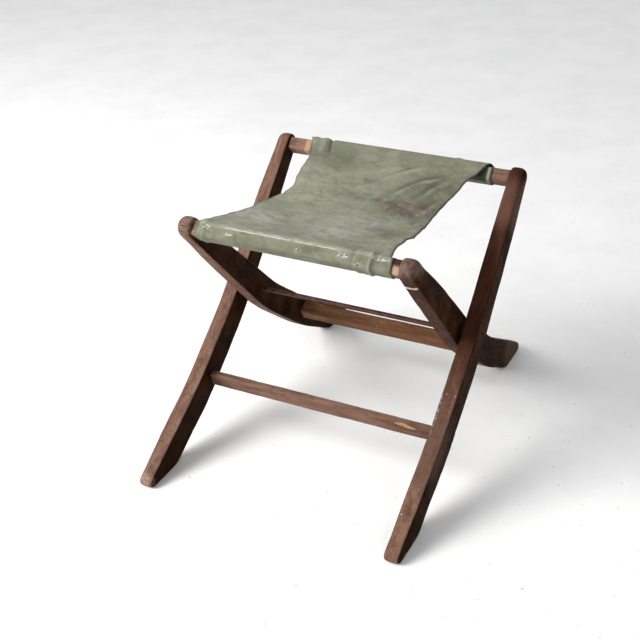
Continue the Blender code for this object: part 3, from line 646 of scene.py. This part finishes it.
def wrap_points(slope, flap_end):
    """Front wrap of the cloth's middle line: from its raw edge round the rail to the sheet."""
    outward, inward = rail_axes(-1)
    middle = Vector((FRONT_RAIL.y, FRONT_RAIL.z))
    flat = RAIL_HALF - RAIL_ROUND
    face = RAIL_HALF + LIFT
    radius = RAIL_ROUND + LIFT
    points = [middle + outward * flap_end + inward * face]
    angle = math.pi / 2 - LEG_SLOPE
    for out, up in ((-1, 1), (-1, -1), (1, -1)):
        centre = middle + outward * out * flat + inward * up * flat
        points += section_arc(centre, radius, angle, angle - math.pi / 2, 6)
        angle -= math.pi / 2
    centre = middle + (outward + inward) * flat
    points += section_arc(centre, radius, angle, math.pi / 2 - slope - 2 * math.pi, 5)
    return points


def even_steps(points, step):
    """The same line with about equal steps, its corners kept rounded."""
    path = np.array([tuple(p) for p in points])
    lengths = np.concatenate([[0], np.cumsum(np.linalg.norm(np.diff(path, axis=0), axis=1))])
    count = int(round(lengths[-1] / step))
    at = np.linspace(0, lengths[-1], count + 1)
    return np.stack([np.interp(at, lengths, path[:, i]) for i in (0, 1)], axis=1)


def smooth_through(at, xs, values):
    """Smooth interpolation through stations: a cubic with each station's own slope."""
    slopes = np.gradient(values, xs)
    index = np.clip(np.searchsorted(xs, at) - 1, 0, len(xs) - 2)
    gap = xs[index + 1] - xs[index]
    share = np.clip((at - xs[index]) / gap, 0, 1)
    a, b = values[index], values[index + 1]
    slope_a, slope_b = slopes[index] * gap, slopes[index + 1] * gap
    return (
        (2 * share**3 - 3 * share**2 + 1) * a
        + (share**3 - 2 * share**2 + share) * slope_a
        + (-2 * share**3 + 3 * share**2) * b
        + (share**3 - share**2) * slope_b
    )


def bell(value, centre, width):
    """A smooth bump, 1 at its centre."""
    return np.exp(-(((value - centre) / width) ** 2))


def cloud(x, y, scale, seed):
    """Smooth noise from -1 to 1 over the cloth."""
    flat = [noise.noise(Vector((a * scale, b * scale, seed))) for a, b in zip(x.ravel(), y.ravel())]
    return np.array(flat).reshape(x.shape)


COLUMNS = 150  # cells across the cloth
SHEET_ROWS = 168  # cells along the free sheet
WRAP_STEP = 2.0 * MM  # length of a cell on the wraps
# Ridges drawn from the rear right corner: direction, a point of each, half length, height in mm
DRAWN_RIDGES = (
    (-0.60, (0.046, 0.136), 0.048, 2.2),
    (-0.80, (0.076, 0.108), 0.056, 2.9),
    (-1.02, (0.106, 0.100), 0.040, 2.6),
    (-0.38, (0.004, 0.150), 0.060, 1.3),
    (-1.20, (0.120, 0.052), 0.034, 2.3),
    (-0.66, (0.014, 0.096), 0.040, 1.3),
)
# Tucks round the rails: place across, half width, height in mm, front -1 or rear 1, reach, lean
TUCKS = (
    (0.104, 0.0060, 1.2, -1, 0.010, -0.15),
    (0.123, 0.0030, 2.2, -1, 0.008, -0.15),
    (0.116, 0.0055, 1.3, -1, 0.008, -0.15),
    (0.129, 0.0028, -1.3, -1, 0.022, 0.0),
    (0.0955, 0.0028, -1.1, -1, 0.020, 0.0),
    (-0.147, 0.0045, 1.6, -1, 0.020, 0.1),
    (-0.150, 0.0055, 1.3, 1, 0.028, 0.3),
    (-0.132, 0.0060, 1.8, 1, 0.030, 0.3),
    (-0.1195, 0.0032, -2.6, 1, 0.026, 0.3),
    (0.110, 0.0060, 1.3, 1, 0.020, -0.3),
)
# The crease where the seat has been folded: its route across the waist
CREASE_X = [-0.13, -0.06, 0.0, 0.06, 0.10, 0.135]
CREASE_Y = [0.008, 0.050, 0.050, 0.040, 0.018, -0.014]


def build_canvas():
    """The middle surface of the cloth, from one raw edge over both rails to the other.

    It returns the points, each one's distance to the nearest side edge, the height of its folds,
    its place along the cloth and across it, the cloth's length, and where the sheet starts and ends.
    """
    wrap = even_steps(wrap_points(SHEET_SLOPE, FLAP_END), WRAP_STEP)
    start = wrap[-1]
    y = np.linspace(start[0], -start[0], SHEET_ROWS + 1)
    drop = SAG * (1 - (y / start[0]) ** 2)
    sheet = np.stack([y, start[1] - drop], axis=1)
    rear = even_steps(wrap_points(SHEET_SLOPE, REAR_FLAP_END), WRAP_STEP)[::-1] * np.array([-1, 1])
    line = np.concatenate([wrap[:-1], sheet, rear[1:]])
    tangent = np.gradient(line, axis=0)
    tangent /= np.linalg.norm(tangent, axis=1)[:, None]
    normal = np.stack([-tangent[:, 1], tangent[:, 0]], axis=1)
    steps = np.linalg.norm(np.diff(line, axis=0), axis=1)
    length = np.concatenate([[0], np.cumsum(steps)])
    total = length[-1]
    place = length - total / 2
    first = len(wrap) - 1
    last = first + SHEET_ROWS
    on_sheet = np.zeros(len(line), bool)
    on_sheet[first : last + 1] = True
    seat_share = np.clip(line[:, 0] / abs(start[0]), -1, 1)

    left = smooth_through(line[:, 0], EDGE_Y, EDGE_LEFT)
    right = smooth_through(line[:, 0], EDGE_Y, EDGE_RIGHT)
    front_wrap = np.arange(len(line)) < first
    rear_wrap = np.arange(len(line)) > last
    ripple = np.array([noise.noise(Vector((at * 60, 0.5, 3.0))) for at in length]) * 1.2 * MM
    ripple_right = np.array([noise.noise(Vector((at * 60, 7.5, 9.0))) for at in length]) * 1.2 * MM
    fade = np.clip((length[first] - length) / (20 * MM), 0, 1)
    left = np.where(front_wrap, (157 + 3 * fade) * MM, left)
    right = np.where(front_wrap, (154 + 1.5 * fade) * MM, right)
    fade_rear = np.clip((length - length[last]) / (25 * MM), 0, 1)
    left = np.where(rear_wrap, (160 - 7 * fade_rear) * MM, left)
    right = np.where(rear_wrap, (163 + 8 * fade_rear) * MM, right)
    left = left + ripple - 3.0 * MM * bell(line[:, 0], 0.014, 0.0055)
    right = right + ripple_right
    nick = 1.5 * bell(line[:, 0], -0.062, 0.009) - 2.0 * bell(line[:, 0], -0.080, 0.009)
    right = right + on_sheet * nick * MM

    share = np.linspace(0, 1, COLUMNS + 1)
    x = -left[:, None] * (1 - share)[None, :] + right[:, None] * share[None, :]
    y_at = np.repeat(line[:, :1], COLUMNS + 1, axis=1)
    places = np.repeat(place[:, None], COLUMNS + 1, axis=1)
    free = np.where(on_sheet, 1 - np.abs(seat_share) ** 3, 0)[:, None]
    slack = np.clip(free * 3, 0, 1)

    # How far the side edges hang above or below the middle of the sheet
    edge_z = start[1] - smooth_through(line[:, 0], EDGE_Y, EDGE_DROP)
    lift_edge = np.where(on_sheet, edge_z - line[:, 1], 0)[:, None]
    near_edge = np.abs(2 * share - 1)[None, :] ** 3
    rise = lift_edge * near_edge * 0.9

    # Waves of the slack cloth
    rise = rise + slack * 1.5 * MM * cloud(x, y_at * 1.6, 22, 1.0)
    rise = rise + slack * 0.7 * MM * cloud(x, y_at, 60, 2.0)
    rise = rise + free * 0.35 * MM * cloud(x, y_at, 150, 5.0)
    before_folds = rise

    for turn, (mid_x, mid_y), reach, size in DRAWN_RIDGES:
        along = (x - mid_x) * math.cos(turn) - (y_at - mid_y) * math.sin(turn)
        across = (x - mid_x) * math.sin(turn) + (y_at - mid_y) * math.cos(turn)
        across = across + 0.0065 * cloud(x, y_at, 22, 20 + turn) + 3.5 * along**2
        rise = rise + slack * size * MM * bell(along, 0, reach) * bell(across, 0, 0.0070)
        rise = rise - slack * size * 0.75 * MM * bell(along, 0, reach) * bell(across, 0.0115, 0.0055)

    crease_y = np.interp(x, CREASE_X, CREASE_Y)
    crease_y = crease_y + 0.004 * cloud(x, y_at, 30, 11.0) + 0.002 * cloud(x, y_at, 90, 12.0)
    depth = 0.35 + 0.65 * bell(x, 0.085, 0.040) + 0.35 * cloud(x, y_at, 28, 13.0)
    rise = rise - slack * 1.3 * MM * depth * bell(y_at - crease_y, 0, 0.0085)
    rise = rise + slack * 0.9 * MM * depth * bell(y_at - crease_y, 0.019, 0.012)
    rise = rise + slack * 0.6 * MM * depth * bell(y_at - crease_y, -0.020, 0.013)

    for x_at, width, size, end_side, reach, lean in TUCKS:
        end = length[first] if end_side < 0 else length[last]
        past = (places + total / 2 - end) * -end_side
        fade_out = 1 / (1 + np.exp((past - reach) / (0.25 * reach)))
        rise = rise + size * MM * bell(x, x_at + lean * np.clip(past, 0, None), width) * fade_out

    fold_rise = rise - before_folds

    # The rear sleeve sits loose on its rail
    rise = rise + 4.0 * MM * bell(places, place[last] + 0.005, 0.024)
    rise = rise + 3.0 * MM * bell(places, place[first] + 0.004, 0.012) * bell(x, -0.150, 0.014)

    # The sides roll over a little
    from_right = right[:, None] - x
    from_left = x + left[:, None]
    rise = rise - slack * 2.2 * MM * np.exp(-from_right / (5 * MM))
    curl_up = bell(y_at, -0.018, 0.030) - 0.6 * bell(y_at, 0.060, 0.06)
    rise = rise + slack * 2.6 * MM * curl_up * np.exp(-from_left / (7 * MM))

    # Nothing sinks into the rail
    rise = np.where(on_sheet[:, None], rise, np.maximum(rise, -0.2 * MM))

    points = np.zeros((*x.shape, 3))
    points[..., 0] = x
    points[..., 1] = line[:, None, 0] + normal[:, None, 0] * rise
    points[..., 2] = line[:, None, 1] + normal[:, None, 1] * rise
    to_edge = np.minimum(x + left[:, None], right[:, None] - x)
    sheet_start, sheet_end = length[first] - total / 2, length[last] - total / 2
    return points, to_edge, fold_rise, places, x, total, sheet_start, sheet_end


def grid_mesh(name, points, maps):
    """A smooth mesh through a grid of points, with a UV layer for each named map."""
    rows, columns, _ = points.shape
    mesh = bpy.data.meshes.new(name)
    corner = np.arange(rows * columns).reshape(rows, columns)
    faces = np.stack([corner[:-1, :-1], corner[:-1, 1:], corner[1:, 1:], corner[1:, :-1]], axis=-1)
    faces = faces.reshape(-1, 4)
    mesh.from_pydata(points.reshape(-1, 3).tolist(), [], faces.tolist())
    for map_name, (across, along) in maps.items():
        uv = mesh.uv_layers.new(name=map_name)
        flat = np.stack([across.ravel(), along.ravel()], axis=1)[faces.ravel()]
        uv.data.foreach_set("uv", flat.astype(np.float32).ravel())
    mesh.polygons.foreach_set("use_smooth", np.ones(len(faces), bool))
    mesh.update()
    obj = bpy.data.objects.new(name, mesh)
    bpy.context.scene.collection.objects.link(obj)
    return obj


SCUFF, SCUFF_SHADE = (0.50, 0.51, 0.46), (0.075, 0.075, 0.055)
# Chips of the front sleeve's coating: place across, below the worn line, half sizes, threshold
CHIPS = (
    (-0.143, 0.004, 0.011, 0.0055, 0.50),
    (-0.104, 0.009, 0.009, 0.0030, 0.46),
    (0.010, 0.011, 0.008, 0.0050, 0.50),
    (0.080, 0.006, 0.012, 0.0065, 0.53),
    (0.107, 0.014, 0.009, 0.0050, 0.54),
    (0.137, 0.002, 0.018, 0.0030, 0.48),
)


def used_canvas(cloth_length, sheet_start, sheet_end):
    """The canvas with its wear and painted light: a darker front sleeve, painted shade on the rear wrap and
    in the folds, painted highlight on fold crests, painted shade and grime at the edges, chips.
    """
    s, place, (cx, cy), colour, rough, bump, clouds = canvas_material()

    # The sheet darkens a little towards the rear and its right side
    rearward = s.mix(s.spread(cy, -0.10, 0.12), (1.08, 1.08, 1.08), (0.92, 0.92, 0.91))
    rightward = s.mix(s.spread(cx, 0.02, 0.13), (1.0, 1.0, 1.0), (0.92, 0.91, 0.89))
    colour = s.mix(1.0, colour, s.mix(1.0, rearward, rightward, "MULTIPLY"), "MULTIPLY")

    # The sleeve's face is darker and greener than the sunned sheet
    on_face = s.spread(cy, sheet_start - 0.010, sheet_start - 0.004, 1.0, 0.0)
    sleeve_end = s.spread(s.math("ABSOLUTE", cx), 0.070, 0.120)
    face_shade = s.mix(sleeve_end, (0.57, 0.575, 0.50), (0.60, 0.605, 0.535))
    colour = s.mix(s.math("MULTIPLY", on_face, 0.95), colour, s.mix(1.0, colour, face_shade, "MULTIPLY"))
    grubby = s.math("MULTIPLY", on_face, s.spread(clouds[1], 0.42, 0.66))
    colour = s.mix(s.math("MULTIPLY", grubby, 0.45), colour, (0.085, 0.088, 0.058))
    # The rear wrap gets painted shade
    behind = s.spread(cy, sheet_end + 0.002, sheet_end + 0.008)
    rear_shade = s.mix(1.0, colour, (0.62, 0.62, 0.50), "MULTIPLY")
    colour = s.mix(s.math("MULTIPLY", behind, 0.9), colour, rear_shade)

    # Painted shade in the hollows of the folds, and a painted highlight on their crests
    edge, fold, _ = s.axes(s.add("UVMap", {}, 0, uv_map="Edge"))
    uneven = s.spread(clouds[2], 0.25, 0.60, 0.45, 1.0)
    fold_shade = s.math("MULTIPLY", s.spread(fold, -0.0002, -0.0020), uneven)
    colour = s.mix(s.math("MULTIPLY", fold_shade, 0.72), colour, (0.068, 0.066, 0.038))
    crest_highlight = s.math("MULTIPLY", s.spread(fold, 0.0008, 0.0028), s.spread(clouds[1], 0.35, 0.60))
    colour = s.mix(s.math("MULTIPLY", crest_highlight, 0.38), colour, (0.385, 0.395, 0.315))

    # The rear sleeve's end stands off the rail: painted shadow on its underside and inner face, towards the
    # right, and a pale strip at its end
    under = s.spread(cy, cloth_length / 2 - 0.034, cloth_length / 2 - 0.026)
    end_strip = s.math("MULTIPLY", under, s.spread(cx, 0.163, 0.165))
    shade = s.math("MULTIPLY", s.math("SUBTRACT", under, end_strip), s.spread(cx, 0.06, 0.13))
    colour = s.mix(s.math("MULTIPLY", shade, 0.93), colour, (0.030, 0.032, 0.018))
    colour = s.mix(s.math("MULTIPLY", end_strip, 0.5), colour, (0.30, 0.32, 0.25))

    # Painted shade along the cut edges, wider towards the right side, and grime a little further in
    frayed = s.math("MULTIPLY_ADD", clouds[2], 0.0016, -0.0008)
    cut_edge_shade_width = s.spread(cx, -0.05, 0.10, 0.0, 0.0011)
    cut_edge_shade = s.spread(s.math("SUBTRACT", s.math("ADD", edge, frayed), cut_edge_shade_width), 0.0009, 0.0019, 1.0, 0.0)
    colour = s.mix(s.math("MULTIPLY", cut_edge_shade, 0.85), colour, (0.045, 0.040, 0.034))
    hem = s.math("MULTIPLY", s.spread(edge, 0.002, 0.008, 1.0, 0.0), s.spread(clouds[2], 0.35, 0.6))
    colour = s.mix(s.math("MULTIPLY", hem, 0.35), colour, (0.150, 0.140, 0.110))
    scratch_wave = s.math("MULTIPLY_ADD", s.noise(place, 120, 2), 0.0030, -0.0015)

    def line_at(y_at, x_from, x_to, half, strength, broken_low, broken_scale, colour):
        """A worn line across the cloth, broken up by noise."""
        off = s.math("ABSOLUTE", s.math("ADD", s.math("SUBTRACT", cy, y_at), scratch_wave))
        thin = s.spread(off, half * 0.4, half, 1.0, 0.0)
        begun = s.spread(cx, x_from, x_from + 0.012)
        span = s.math("MULTIPLY", begun, s.spread(cx, x_to - 0.012, x_to, 1.0, 0.0))
        broken = s.spread(s.noise(place, broken_scale, 4, 0.6), broken_low, broken_low + 0.08)
        share = s.math("MULTIPLY", s.math("MULTIPLY", thin, span), s.math("MULTIPLY", broken, strength))
        return s.mix(share, colour, SCUFF)

    def chip_at(x_at, y_at, half_x, half_y, threshold, colour):
        """A chip of the coating, with a torn outline."""
        away = s.vector("SUBTRACT", place, (x_at, y_at, 0))
        reach = s.vector("LENGTH", s.vector("DIVIDE", away, (half_x, half_y, 1)))
        stroke = s.vector("MULTIPLY", s.turned(place, (0, 0, math.radians(-40))), (0.30, 1.0, 1.0))
        broken = s.spread(s.noise(stroke, 480, 2, 0.5, 0.6), threshold, threshold + 0.06)
        share = s.math("MULTIPLY", s.spread(reach, 0.5, 1.0, 0.9, 0.0), broken)
        dark = s.spread(s.noise(stroke, 480, 2, 0.5, 0.6), threshold - 0.10, threshold - 0.02)
        dark = s.math("MULTIPLY", s.spread(reach, 0.5, 1.0, 0.5, 0.0), dark)
        colour = s.mix(dark, colour, SCUFF_SHADE)
        return s.mix(share, colour, SCUFF)

    front_line = sheet_start - 6 * MM
    colour = line_at(front_line, -0.125, 0.075, 0.0008, 0.90, 0.38, 75, colour)
    colour = line_at(front_line + 0.003, -0.110, 0.040, 0.0025, 0.22, 0.48, 50, colour)
    for x_at, below, half_x, half_y, threshold in CHIPS:
        colour = chip_at(x_at, front_line - below, half_x, half_y, threshold, colour)
    return s.finish(Base_Color=colour, Roughness=rough, Normal=bump, Specular_IOR_Level=0.28)


points, to_edge, folds, flat_s, real_x, cloth_length, sheet_start, sheet_end = build_canvas()
canvas = grid_mesh("canvas", points, {"Cloth": (real_x, flat_s), "Edge": (to_edge, folds)})
thick = canvas.modifiers.new("thickness", "SOLIDIFY")
thick.thickness = CLOTH
thick.offset = 0
thick.use_even_offset = False
canvas.data.materials.append(used_canvas(cloth_length, sheet_start, sheet_end))
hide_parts("seat_canvas")
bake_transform(canvas)


# ------------------------------------------------------------------ floor, light and camera


FLAT_RADIUS = 3.6
BEND_RADIUS = 1.6
BACKDROP_HEIGHT = 3.4
SPOKES = 72


def build_floor():
    """A pale floor that curves up into a round backdrop."""
    profile = [(r, 0.0) for r in np.linspace(0.4, FLAT_RADIUS, 9)]
    profile += [
        (FLAT_RADIUS + BEND_RADIUS * math.sin(a), BEND_RADIUS * (1 - math.cos(a)))
        for a in np.linspace(0.1, math.pi / 2, 12)
    ]
    profile.append((FLAT_RADIUS + BEND_RADIUS, BACKDROP_HEIGHT))
    turns = [2 * math.pi * i / SPOKES for i in range(SPOKES)]
    verts = [(0, 0, 0)]
    for r, z in profile:
        verts += [(r * math.cos(turn), r * math.sin(turn), z) for turn in turns]
    faces = [(0, 1 + i, 1 + (i + 1) % SPOKES) for i in range(SPOKES)]
    for ring in range(len(profile) - 1):
        a = 1 + ring * SPOKES
        b = a + SPOKES
        faces += [(a + i, b + i, b + (i + 1) % SPOKES, a + (i + 1) % SPOKES) for i in range(SPOKES)]
    mesh = bpy.data.meshes.new("studio_floor")
    mesh.from_pydata(verts, [], faces)
    mesh.polygons.foreach_set("use_smooth", np.ones(len(faces), bool))
    obj = bpy.data.objects.new("studio_floor", mesh)
    bpy.context.scene.collection.objects.link(obj)
    f = Shader("studio_floor")
    where = f.position()
    tone = f.mix(f.spread(f.noise(where, 6, 4, 0.6), 0.3, 0.7), (0.91, 0.91, 0.91), (0.97, 0.97, 0.965))
    tone = f.mix(f.spread(f.noise(where, 260, 3, 0.7), 0.40, 0.80, 0.0, 0.14), tone, (0.70, 0.70, 0.69))
    tone = f.mix(f.math("MULTIPLY", f.specks(where, 48, 0.095, 0.30), 0.65), tone, (0.36, 0.35, 0.34))
    tone = f.mix(f.math("MULTIPLY", f.specks(where, 95, 0.15, 0.28), 0.55), tone, (0.40, 0.39, 0.37))
    bumpy = f.bump(f.noise(where, 300, 3), 0.0008, 0.3)
    mesh.materials.append(f.finish(Base_Color=tone, Roughness=0.7, Normal=bumpy))


def light_room():
    """One broad soft lamp from the front left, and an even pale room."""
    towards = Vector((-1.56, -1.34, 1.34))
    lamp = bpy.data.lights.new("key", "AREA")
    lamp.shape = "RECTANGLE"
    lamp.size = 1.7
    lamp.size_y = 1.7
    lamp.energy = 125
    lamp.color = (1.0, 0.995, 0.985)
    obj = bpy.data.objects.new("key", lamp)
    obj.location = towards.normalized() * 3.0 + Vector((0, 0, 0.2))
    obj.rotation_euler = towards.to_track_quat("Z", "Y").to_euler()
    obj.visible_camera = False
    bpy.context.scene.collection.objects.link(obj)
    world = bpy.data.worlds.new("studio")
    world.use_nodes = True
    background = world.node_tree.nodes["Background"]
    background.inputs["Color"].default_value = (0.98, 0.985, 1.0, 1)
    background.inputs["Strength"].default_value = 0.54
    bpy.context.scene.world = world
    bpy.context.scene.view_settings.view_transform = "Standard"


CAMERA_PLACE = (0.70595, -1.45985, 1.10948)
AZIMUTH, ELEVATION, ROLL = (math.radians(a) for a in (27.67, 29.59, -1.92))
LENS_LENGTH = 63.488  # mm, for a sensor 36 mm wide


def place_camera():
    """A camera turned by the three angles above, and made the scene's camera."""
    level = Vector((math.cos(AZIMUTH), math.sin(AZIMUTH), 0))
    forward = Vector((
        -math.sin(AZIMUTH) * math.cos(ELEVATION),
        math.cos(AZIMUTH) * math.cos(ELEVATION),
        -math.sin(ELEVATION),
    ))
    up = level.cross(forward)
    turned_right = math.cos(ROLL) * level + math.sin(ROLL) * up
    turned_up = math.cos(ROLL) * up - math.sin(ROLL) * level
    camera = bpy.data.cameras.new("camera")
    camera.lens = LENS_LENGTH
    camera.sensor_width = 36.0
    obj = bpy.data.objects.new("camera", camera)
    turned = Matrix((turned_right, turned_up, -forward)).transposed()
    obj.matrix_world = Matrix.Translation(CAMERA_PLACE) @ turned.to_4x4()
    bpy.context.scene.collection.objects.link(obj)
    bpy.context.scene.camera = obj


build_floor()
light_room()
place_camera()
